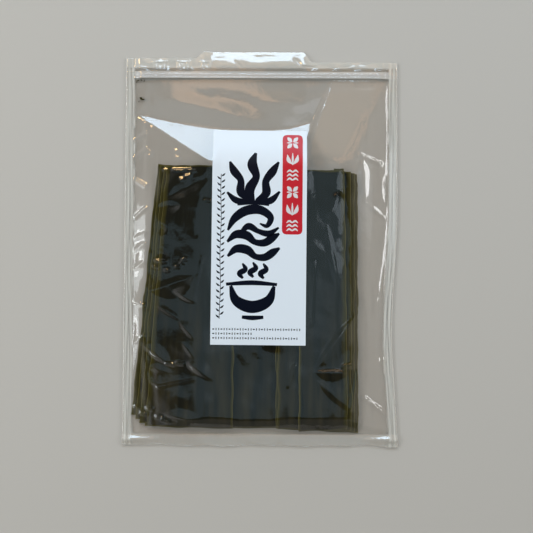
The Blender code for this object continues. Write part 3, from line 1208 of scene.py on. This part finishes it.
@dataclass
class ZipProfile:
    """The pouch's zip: two ribs pressed together inside the film, crushed flat at both ends."""

    shape: PouchShape
    clearance: float = 0.1 * MM
    thickness: float = 0.5 * MM
    cells: tuple[int, int] = (239, 24)

    def build(self) -> Piece:
        """Models the zip just under the front film and dresses it."""
        low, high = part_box("zip_track")
        columns = np.linspace(low.x, high.x, self.cells[0] + 1)
        rows = np.linspace(low.y, high.y, self.cells[1] + 1)
        track = grid_piece("zip_profile", columns, rows)
        places = points_of(track)
        places[:, 2] = self.shape.front(places[:, 0], places[:, 1]) - self.clearance
        move_points(track, places)
        thicken(track, self.thickness, -1.0)
        smooth_to_edges(track)
        finish_piece(track, [ZipPlastic().material()], "zip_track")
        return track


@dataclass
class PaperLabel:
    """The tall paper label stuck on the front film."""

    film: PouchFilm
    turn: float = math.radians(-0.35)
    width: float = 82 * MM
    length: float = 187.5 * MM
    lift: float = 0.15 * MM
    thickness: float = 0.1 * MM
    cells: tuple[int, int] = (69, 159)

    def centre(self) -> Vector:
        """Middle of the label."""
        low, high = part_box("label")
        return (low + high) / 2

    def place(self, u: Field, v: Field, above: float = 0.0) -> Field:
        """Puts places of the flat label on the real one.

        Args:
            u: Places across, from the label's middle, in metres.
            v: Places along, from the label's middle, in metres.
            above: Height over the paper's face, in metres.

        Returns:
            The places in the pouch's frame, one in each row.
        """
        middle = self.centre()
        x = middle.x + u * math.cos(self.turn) - v * math.sin(self.turn)
        y = middle.y + u * math.sin(self.turn) + v * math.cos(self.turn)
        return np.stack([x, y, self.film.front(x, y) + self.lift + above], axis=1)

    def build(self) -> Piece:
        """Models the paper along the film and dresses it."""
        columns = np.linspace(-self.width / 2, self.width / 2, self.cells[0] + 1)
        rows = np.linspace(-self.length / 2, self.length / 2, self.cells[1] + 1)
        label = grid_piece("label_paper", columns, rows)
        flat = points_of(label)
        move_points(label, self.place(flat[:, 0], flat[:, 1]))
        thicken(label, self.thickness, 1.0)
        smooth_to_edges(label)
        finish_piece(label, [CoatedPaper().material()], "label")
        return label


class Ink(Enum):
    """Inks of the label's print."""

    BLACK = ("blue_black_ink", "#04091A", 0.12)
    RED = ("vermilion_ink", "#C71C2B", 0.3)
    WHITE = ("paper_left_white", "#DEDDE0", 0.5)

    def finish(self) -> CoatedPaper:
        """The ink's finish: the paper's sheen in the ink's own colour."""
        name, colour, sheen = self.value
        return CoatedPaper(name, colour, sheen=sheen)


@dataclass(frozen=True)
class Stroke:
    """A brush stroke on the flat label: the points it runs through and its widths there, in mm."""

    path: tuple[tuple[float, float], ...]
    widths: tuple[float, ...]
    step: float = 0.8
    lanes: int = 2

    def moved(self, across: float, along: float) -> Stroke:
        """The same stroke in another place."""
        return replace(self, path=tuple((x + across, y + along) for x, y in self.path))

    def mirrored(self) -> Stroke:
        """The same stroke turned over left to right."""
        return replace(self, path=tuple((-x, y) for x, y in self.path))

    def edges(self) -> Field:
        """Places across the stroke from its left edge to its right, a row of them at each step."""
        knots = np.array(self.path, dtype=float)
        runs = np.hypot(*np.diff(knots, axis=0).T)
        at_knot = np.concatenate([[0.0], np.cumsum(runs)])
        count = max(3, round(at_knot[-1] / self.step) + 1)
        station = np.linspace(0, at_knot[-1], count)
        middle = np.stack([smooth_through(at_knot, knots[:, axis], station) for axis in (0, 1)], axis=1)
        half = smooth_through(at_knot, np.array(self.widths, dtype=float), station) / 2
        ahead = np.gradient(middle, axis=0)
        ahead = ahead / np.maximum(np.hypot(ahead[:, 0], ahead[:, 1]), 1e-9)[:, None]
        aside = np.stack([-ahead[:, 1], ahead[:, 0]], axis=1) * np.maximum(half, 0.02)[:, None]
        lanes = np.linspace(1, -1, self.lanes + 1)
        return middle[:, None, :] + lanes[None, :, None] * aside[:, None, :]


def smooth_through(at_knot: Field, values: Field, station: Field) -> Field:
    """Values of a smooth curve through the knots at each station (a Catmull-Rom spline)."""
    slopes = np.gradient(values, at_knot)
    piece = np.clip(np.searchsorted(at_knot, station, side="right") - 1, 0, len(at_knot) - 2)
    span = at_knot[piece + 1] - at_knot[piece]
    t = (station - at_knot[piece]) / span
    start = (1 + 2 * t) * (1 - t) ** 2 * values[piece] + t * (1 - t) ** 2 * span * slopes[piece]
    end = t * t * (3 - 2 * t) * values[piece + 1] - t * t * (1 - t) * span * slopes[piece + 1]
    return start + end


@dataclass
class PrintLayer:
    """One ink's strokes, lifted onto the label as one thin piece."""

    name: str
    ink: Ink
    strokes: Sequence[Stroke]
    label: PaperLabel
    above: float
    thickness: float = 0.03 * MM

    def build(self) -> Piece:
        """Models the strokes along the label and dresses them."""
        strips = []
        for stroke in self.strokes:
            edges = stroke.edges() * MM
            strip = grid_piece("stroke", np.arange(edges.shape[1] + 0.0), np.arange(len(edges) + 0.0))
            index = np.rint(points_of(strip)[:, :2]).astype(int)
            flat = edges[index[:, 1], index[:, 0]]
            move_points(strip, self.label.place(flat[:, 0], flat[:, 1], self.above))
            strips.append(strip)
        layer = join_pieces(strips, self.name)
        bpy.ops.object.mode_set(mode="EDIT")
        bpy.ops.mesh.select_all(action="SELECT")
        bpy.ops.mesh.normals_make_consistent(inside=False)
        bpy.ops.object.mode_set(mode="OBJECT")
        self.face_up(layer)
        thicken(layer, self.thickness, 1.0)
        finish_piece(layer, [self.ink.finish().material()])
        return layer

    def face_up(self, layer: Piece) -> None:
        """Turns over every face that looks down."""
        choose_faces(layer, [face.normal.z < 0 for face in layer.data.polygons])
        bpy.ops.mesh.flip_normals()
        bpy.ops.object.mode_set(mode="OBJECT")


@dataclass
class LabelPrint:
    """The label's print: three brushed motifs, a red panel of ornaments, a sprig and fine rows.

    Places are on the flat label, in millimetres from its middle.
    """

    label: PaperLabel
    panel_left: float = 19.8
    panel_right: float = 37.3
    panel_bottom: float = 1.8
    panel_top: float = 89.9
    panel_round: float = 3.6
    ornaments: int = 6
    sprig_x: float = -33.2
    sprig_bottom: float = -71.5
    sprig_top: float = 54.0
    sprig_leaves: int = 46
    row_heights: tuple[float, ...] = (-80.3, -84.1, -87.9)
    row_ends: tuple[float, ...] = (37.3, -4.0, 33.6)
    row_start: float = -38.4
    row_pitch: float = 2.32

    def fronds(self) -> list[Stroke]:
        """Top motif: kelp fronds that rise from a holdfast."""
        return [
            Stroke(((-5.5, 30), (-8.5, 40), (-3, 52), (-6.5, 63), (-3.5, 73)), (3.4, 8.6, 6.4, 8.6, 2.2)),
            Stroke(((-8, 31), (-16, 38), (-16.5, 49), (-22.5, 57), (-26, 65)), (2.4, 7.2, 5.8, 6.8, 1.8)),
            Stroke(((-3, 31), (5.5, 37), (5.5, 48), (11.5, 57), (16.5, 65)), (2.4, 7.4, 6.2, 7.0, 1.8)),
            Stroke(((-9, 30.6), (-20, 31), (-28, 38)), (2.2, 5.6, 1.8)),
            Stroke(((-2, 30.6), (9.5, 31), (17.6, 39)), (2.2, 6.0, 1.8)),
            Stroke(((-19, 27.4), (-5.5, 29.4), (8.5, 27.2)), (2.0, 4.0, 1.8)),
        ]

    def swell(self) -> list[Stroke]:
        """Middle motif: a curling wave over two rolling ones."""
        roll = Stroke(
            ((-27.5, -5), (-19.5, 1.5), (-10.5, 0.5), (-3.5, -5), (5, -5.5), (12, -1), (17.5, 2.5)),
            (2.0, 7.0, 7.6, 5.2, 6.6, 6.4, 1.8),
        )
        return [
            Stroke(
                ((-27, 5), (-21.5, 15), (-10, 22.5), (3, 22), (10, 15.5), (6.5, 9), (0.5, 11)),
                (1.8, 6.6, 8.4, 7.4, 5.6, 3.8, 1.2),
            ),
            Stroke(((-17, 2.5), (-9, 8.5), (-1, 4.5), (8, 2.4), (17, 7.6)), (1.6, 6.0, 4.4, 5.4, 1.6)),
            roll,
            roll.moved(0.5, -12.5),
        ]

    def bowl(self) -> list[Stroke]:
        """Bottom motif: a steaming soup bowl."""
        steam = Stroke(((-13.5, -36.5), (-16.5, -32.5), (-11.5, -28.5), (-14, -23.5)), (1.8, 4.6, 4.4, 1.4))
        return [
            Stroke(((-28, -41.6), (-5, -40.2), (16, -41.6)), (2.6, 4.2, 2.6)),
            Stroke(
                ((-24, -43), (-19.5, -55), (-5.5, -61), (9, -55), (13.5, -43)), (2.6, 8.2, 10.6, 8.4, 2.6)
            ),
            Stroke(((-14, -69.8), (-5, -70.4), (4.5, -69.8)), (2.8, 4.0, 2.8)),
            steam,
            steam.moved(9, 1.0),
            steam.moved(18, 0),
        ]

    def sprig(self) -> list[Stroke]:
        """Left column: a long thin stem with small leaves on alternate sides."""
        stem = Stroke(
            tuple(
                (self.sprig_x + 0.35 * math.sin(0.11 * y), y)
                for y in np.linspace(self.sprig_bottom, self.sprig_top, 20)
            ),
            (0.5,) * 20,
        )
        leaf = Stroke(((0.2, 0), (1.8, 1.0), (3.4, 2.6)), (0.5, 1.5, 0.3), 0.5)
        leaves = [
            (leaf if number % 2 else leaf.mirrored()).moved(self.sprig_x, y)
            for number, y in enumerate(
                np.linspace(self.sprig_bottom + 1, self.sprig_top - 2, self.sprig_leaves)
            )
        ]
        return [stem, *leaves]

    def rows(self) -> list[Stroke]:
        """Three fine rows of dots and short dashes at the label's foot."""
        dash = Stroke(((-0.8, 0), (0.8, 0)), (1.0, 1.0), 0.5)
        tick = Stroke(((0, -0.95), (0, 0.95)), (0.75, 0.75), 0.5)
        marks = []
        for height, end in zip(self.row_heights, self.row_ends):
            for number, x in enumerate(np.arange(self.row_start, end, self.row_pitch)):
                marks.append((tick if number % 3 else dash).moved(x, height))
        return marks

    def panel(self) -> list[Stroke]:
        """Red panel: one broad stroke whose ends narrow into round corners."""
        middle = (self.panel_left + self.panel_right) / 2
        width = self.panel_right - self.panel_left
        turn = np.linspace(math.pi / 2, 0, 7)
        low = self.panel_bottom + self.panel_round * (1 - np.sin(turn))
        inset = 2 * self.panel_round * (1 - np.cos(turn))
        side = np.linspace(low[-1], self.panel_bottom + self.panel_top - low[-1], 12)[1:-1]
        high = (self.panel_bottom + self.panel_top - low)[::-1]
        heights = np.concatenate([low, side, high])
        widths = width - np.concatenate([inset, 0 * side, inset[::-1]])
        return [Stroke(tuple((middle, y) for y in heights), tuple(widths), 0.5, 14)]

    def ornament(self, number: int) -> list[Stroke]:
        """One of the panel's ornaments, round the flat label's middle: a blossom, a sprout or waves."""
        if number % 3 == 1:
            half = Stroke(((0.4, -4.8), (3.4, -1.4), (4.6, 3.8)), (0.6, 3.4, 0.4), 0.5)
            vein = Stroke(((0, -5.4), (0, 0.5), (0, 5.4)), (0.9, 1.7, 0.5), 0.5)
            return [half, half.mirrored(), vein]
        if number % 3 == 2:
            crests = ((-5, -0.8), (-2.6, 0.9), (0, -0.4), (2.6, 0.9), (5, -0.8))
            wave = Stroke(crests, (0.5, 1.7, 1.2, 1.7, 0.5), 0.5)
            return [wave.moved(0, -3.5), wave, wave.moved(0, 3.5)]
        petal = Stroke(((0.5, 0.7), (2.7, 3.0), (4.5, 4.9)), (0.5, 3.5, 1.0), 0.5)
        side = Stroke(((1.3, 0), (3.2, 0), (5.0, 0)), (0.4, 1.3, 0.4), 0.5)
        petals = [petal, Stroke(tuple((x, -y) for x, y in petal.path), petal.widths, petal.step)]
        petals += [one.mirrored() for one in petals]
        return [*petals, side, side.mirrored()]

    def ornaments_white(self) -> list[Stroke]:
        """The column of white ornaments on the panel."""
        middle = (self.panel_left + self.panel_right) / 2
        pitch = (self.panel_top - self.panel_bottom) / self.ornaments
        strokes = []
        for number in range(self.ornaments):
            height = self.panel_top - pitch * (number + 0.5)
            strokes += [stroke.moved(middle, height) for stroke in self.ornament(number)]
        return strokes

    def build(self) -> None:
        """Models and dresses every layer of the print."""
        black = [*self.fronds(), *self.swell(), *self.bowl(), *self.sprig(), *self.rows()]
        PrintLayer("print_black", Ink.BLACK, black, self.label, 0.11 * MM).build()
        PrintLayer("print_red_panel", Ink.RED, self.panel(), self.label, 0.11 * MM).build()
        PrintLayer("print_white", Ink.WHITE, self.ornaments_white(), self.label, 0.15 * MM).build()


# ---------------------------------------------------------------------------------------------
# Studio
# ---------------------------------------------------------------------------------------------


@dataclass(frozen=True)
class SoftLight:
    """A soft rectangular studio light that faces the pouch."""

    name: str
    direction: tuple[float, float, float]
    distance: float
    size: tuple[float, float]
    radiance: float
    colour: tuple[float, float, float]

    def build(self) -> None:
        """Adds the light, with the power that gives its face the set radiance."""
        deselect_all()
        away = Vector(self.direction).normalized()
        bpy.ops.object.light_add(type="AREA", location=away * self.distance)
        lamp = bpy.context.active_object
        lamp.name = lamp.data.name = self.name
        lamp.data.shape = "RECTANGLE"
        lamp.data.size, lamp.data.size_y = self.size
        lamp.data.energy = 4 * self.radiance * self.size[0] * self.size[1]
        lamp.data.color = self.colour
        lamp.rotation_euler = away.to_track_quat("Z", "Y").to_euler()


@dataclass(frozen=True)
class RoomTone:
    """Light of the room round the pouch: plain low down, with a patchy ceiling that gloss mirrors."""

    left_wall: str = "#C4C6C6"
    near_wall: str = "#6A6B65"
    right_wall: str = "#B4B2AC"
    skylight: tuple[tuple[float, str], ...] = (
        (0.0, "#93AAB7"),
        (0.08, "#758C98"),
        (0.175, "#6C828C"),
        (0.210, "#12140F"),
        (0.40, "#1D1E18"),
    )
    skylight_place: tuple[float, float, float, float] = (0.02, 0.0, 0.33, 0.80)
    pane: tuple[tuple[float, str], ...] = ((0.17, "#FFFFFF"), (0.21, "#000000"))
    pane_place: tuple[float, float, float, float] = (0.22, 0.12, 1.6, 2.4)
    pane_colour: str = "#DDF1FF"
    glow: tuple[tuple[float, str], ...] = (
        (0.34, "#F2C8A2"),
        (0.38, "#3A3931"),
        (0.44, "#2A2B25"),
        (0.48, "#E9BB92"),
        (0.54, "#FFD2A8"),
        (0.58, "#3A3931"),
        (0.62, "#E9BB92"),
    )
    plain_glow: str = "#B5A28B"
    patch_scale: float = 4.6
    patch_warp: float = 0.9
    patch_seed: float = 2.7
    patch_push: float = 0.11
    patch_range: tuple[float, float] = (0.3, 0.7)
    glow_strength: float = 1.7
    # Parts of the looked-in direction over which one tone gives way to the next
    glow_edge: tuple[float, float] = (-0.15, -0.10)
    glow_fade: tuple[float, float] = (0.34, 0.44)
    glow_start: tuple[float, float] = (0.25, 0.275)
    wall_turn: tuple[float, float] = (-0.2, 0.5)
    near_turn: tuple[float, float] = (-0.35, -0.6)
    ceiling_rim: tuple[float, float] = (0.78, 0.88)
    least_rise: float = 0.1
    strength: float = 1.33

    def tones(
        self, tree: Tree, value: Socket, stops: Sequence[tuple[float, str]]
    ) -> Socket:
        """Colour that changes with a value.

        Args:
            tree: The world's node tree.
            value: The value, from 0 to 1.
            stops: Values and their colours.

        Returns:
            The colour socket.
        """
        tones = add_node(tree, "ShaderNodeValToRGB", {0: value})
        ramp = tones.color_ramp
        while len(ramp.elements) < len(stops):
            ramp.elements.new(0.5)
        for element, (place, colour) in zip(ramp.elements, stops):
            element.position = place
            element.color = linear_colour(colour)
        return tones.outputs[0]

    def away_from(self, tree: Tree, ceiling: Socket, place: tuple[float, float, float, float]) -> Socket:
        """Distance on the ceiling from a place.

        Args:
            tree: The world's node tree.
            ceiling: The place looked at, on a ceiling one unit up.
            place: The place's x and y, then the scales of the distances in x and y.

        Returns:
            The distance's socket.
        """
        x, y, x_scale, y_scale = place
        centred = add_node(
            tree,
            "ShaderNodeMapping",
            {"Vector": ceiling, "Location": (-x * x_scale, -y * y_scale, -1), "Scale": (x_scale, y_scale, 1)},
        )
        away = add_node(tree, "ShaderNodeVectorMath", {0: centred.outputs[0]}, operation="LENGTH")
        return away.outputs["Value"]

    def overhead(self, tree: Tree, towards: Socket) -> Socket:
        """Colour of the ceiling: a cool skylight with a bright pane, and a warm glow beyond it.

        Args:
            tree: The world's node tree.
            towards: The direction looked in.

        Returns:
            The colour socket.
        """
        parts = add_node(tree, "ShaderNodeSeparateXYZ", {0: towards}).outputs
        scale = calculated(tree, "DIVIDE", 1.0, calculated(tree, "MAXIMUM", parts["Z"], self.least_rise))
        ceiling = add_node(
            tree, "ShaderNodeVectorMath", {0: towards, "Scale": scale}, operation="SCALE"
        ).outputs[0]
        patches = add_node(
            tree,
            "ShaderNodeTexNoise",
            {
                "Vector": ceiling,
                "Scale": self.patch_scale,
                "W": self.patch_seed,
                "Detail": 1.0,
                "Roughness": 0.4,
                "Distortion": self.patch_warp,
            },
            noise_dimensions="4D",
        ).outputs["Fac"]
        push = ranged(tree, patches, *self.patch_range, -self.patch_push / 2, self.patch_push / 2)
        uneven = calculated(tree, "ADD", self.away_from(tree, ceiling, self.skylight_place), push)
        in_pane = self.tones(tree, self.away_from(tree, ceiling, self.pane_place), self.pane)
        lit = blended(tree, in_pane, self.tones(tree, uneven, self.skylight), self.pane_colour)
        faded = ranged(tree, parts["Y"], *self.glow_fade)
        patchy = blended(tree, faded, self.tones(tree, patches, self.glow), self.plain_glow)
        rightwards = ranged(tree, parts["X"], *self.glow_edge)
        strength = calculated(tree, "MULTIPLY", rightwards, self.glow_strength)
        glowing = add_node(
            tree, "ShaderNodeVectorMath", {0: patchy, "Scale": strength}, operation="SCALE"
        ).outputs[0]
        return blended(tree, ranged(tree, parts["Y"], *self.glow_start), lit, glowing)

    def build(self) -> None:
        """Sets the world up."""
        world = bpy.data.worlds.new("room")
        world.use_nodes = True
        bpy.context.scene.world = world
        tree = world.node_tree
        tree.nodes.clear()
        output = add_node(tree, "ShaderNodeOutputWorld")
        towards = add_node(tree, "ShaderNodeTexCoord").outputs["Generated"]
        parts = add_node(tree, "ShaderNodeSeparateXYZ", {0: towards}).outputs
        walls = blended(tree, ranged(tree, parts["X"], *self.wall_turn), self.left_wall, self.right_wall)
        around = blended(tree, ranged(tree, parts["Y"], *self.near_turn), walls, self.near_wall)
        overhead = self.overhead(tree, towards)
        tone = blended(tree, ranged(tree, parts["Z"], *self.ceiling_rim), around, overhead)
        light = add_node(tree, "ShaderNodeBackground", {"Color": tone, "Strength": self.strength})
        tree.links.new(light.outputs[0], output.inputs["Surface"])


@dataclass
class Studio:
    """Pale floor, soft lights, room tone and the camera that looks down on the pouch."""

    floor_colour: str = "#C4C1BC"
    camera_distance: float = 0.70
    camera_target: tuple[float, float] = (5.1 * MM, -17.1 * MM)
    camera_tilt: float = math.radians(2.14)
    camera_roll: float = math.radians(0.26)
    camera_lens: float = 53.8
    lights: tuple[SoftLight, ...] = (
        SoftLight("window", (-0.026, 0.710, 0.697), 1.5, (0.66, 0.30), 6.95, (0.62, 0.81, 1.0)),
        SoftLight("left_panel", (-0.777, -0.05, 0.629), 1.5, (1.3, 0.26), 2.7, (0.88, 0.96, 1.0)),
        SoftLight("left_strip", (-0.82, 0.05, 0.57), 1.4, (0.9, 0.10), 4.5, (0.96, 0.98, 1.0)),
        SoftLight("right_strip", (0.78, 0.25, 0.57), 1.4, (0.9, 0.14), 5.6, (0.96, 0.98, 1.0)),
        SoftLight("warm_lamp", (-0.45, 0.42, 0.79), 1.5, (0.18, 0.15), 16.0, (1.0, 0.64, 0.26)),
    )

    def build(self) -> None:
        """Sets the whole studio up."""
        self.lay_floor()
        for light in self.lights:
            light.build()
        RoomTone().build()
        self.set_camera()
        bpy.context.scene.view_settings.view_transform = "Standard"

    def lay_floor(self) -> None:
        """Lays a wide matt floor just under the pouch."""
        deselect_all()
        bpy.ops.mesh.primitive_plane_add(size=8, location=(0, 0, -0.2 * MM))
        floor = bpy.context.active_object
        floor.name = "studio_floor"
        material, tree, output = new_material("matt_floor")
        matt = add_node(tree, "ShaderNodeBsdfDiffuse", {"Color": linear_colour(self.floor_colour)})
        tree.links.new(matt.outputs[0], output.inputs["Surface"])
        floor.data.materials.append(material)

    def set_camera(self) -> None:
        """Places the camera above the pouch, tipped a little towards its bottom seal."""
        deselect_all()
        target = Vector((*self.camera_target, 0.0))
        back = Vector((0, -math.sin(self.camera_tilt), math.cos(self.camera_tilt)))
        bpy.ops.object.camera_add(location=target + back * self.camera_distance)
        camera = bpy.context.active_object
        camera.data.lens = self.camera_lens
        camera.rotation_euler = (self.camera_tilt, 0, self.camera_roll)
        bpy.context.scene.camera = camera


def main() -> None:
    """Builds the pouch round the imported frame, piece by piece."""
    logging.basicConfig(level=logging.INFO, format="%(name)s %(message)s")
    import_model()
    shape = PouchShape.from_frame()
    film = PouchFilm(shape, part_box("label"))
    KelpStack(shape).build()
    KelpCrumbs(shape).build()
    ZipProfile(shape).build()
    film.build()
    label = PaperLabel(film)
    label.build()
    LabelPrint(label).build()
    Studio().build()


if __name__ == "__main__":
    main()
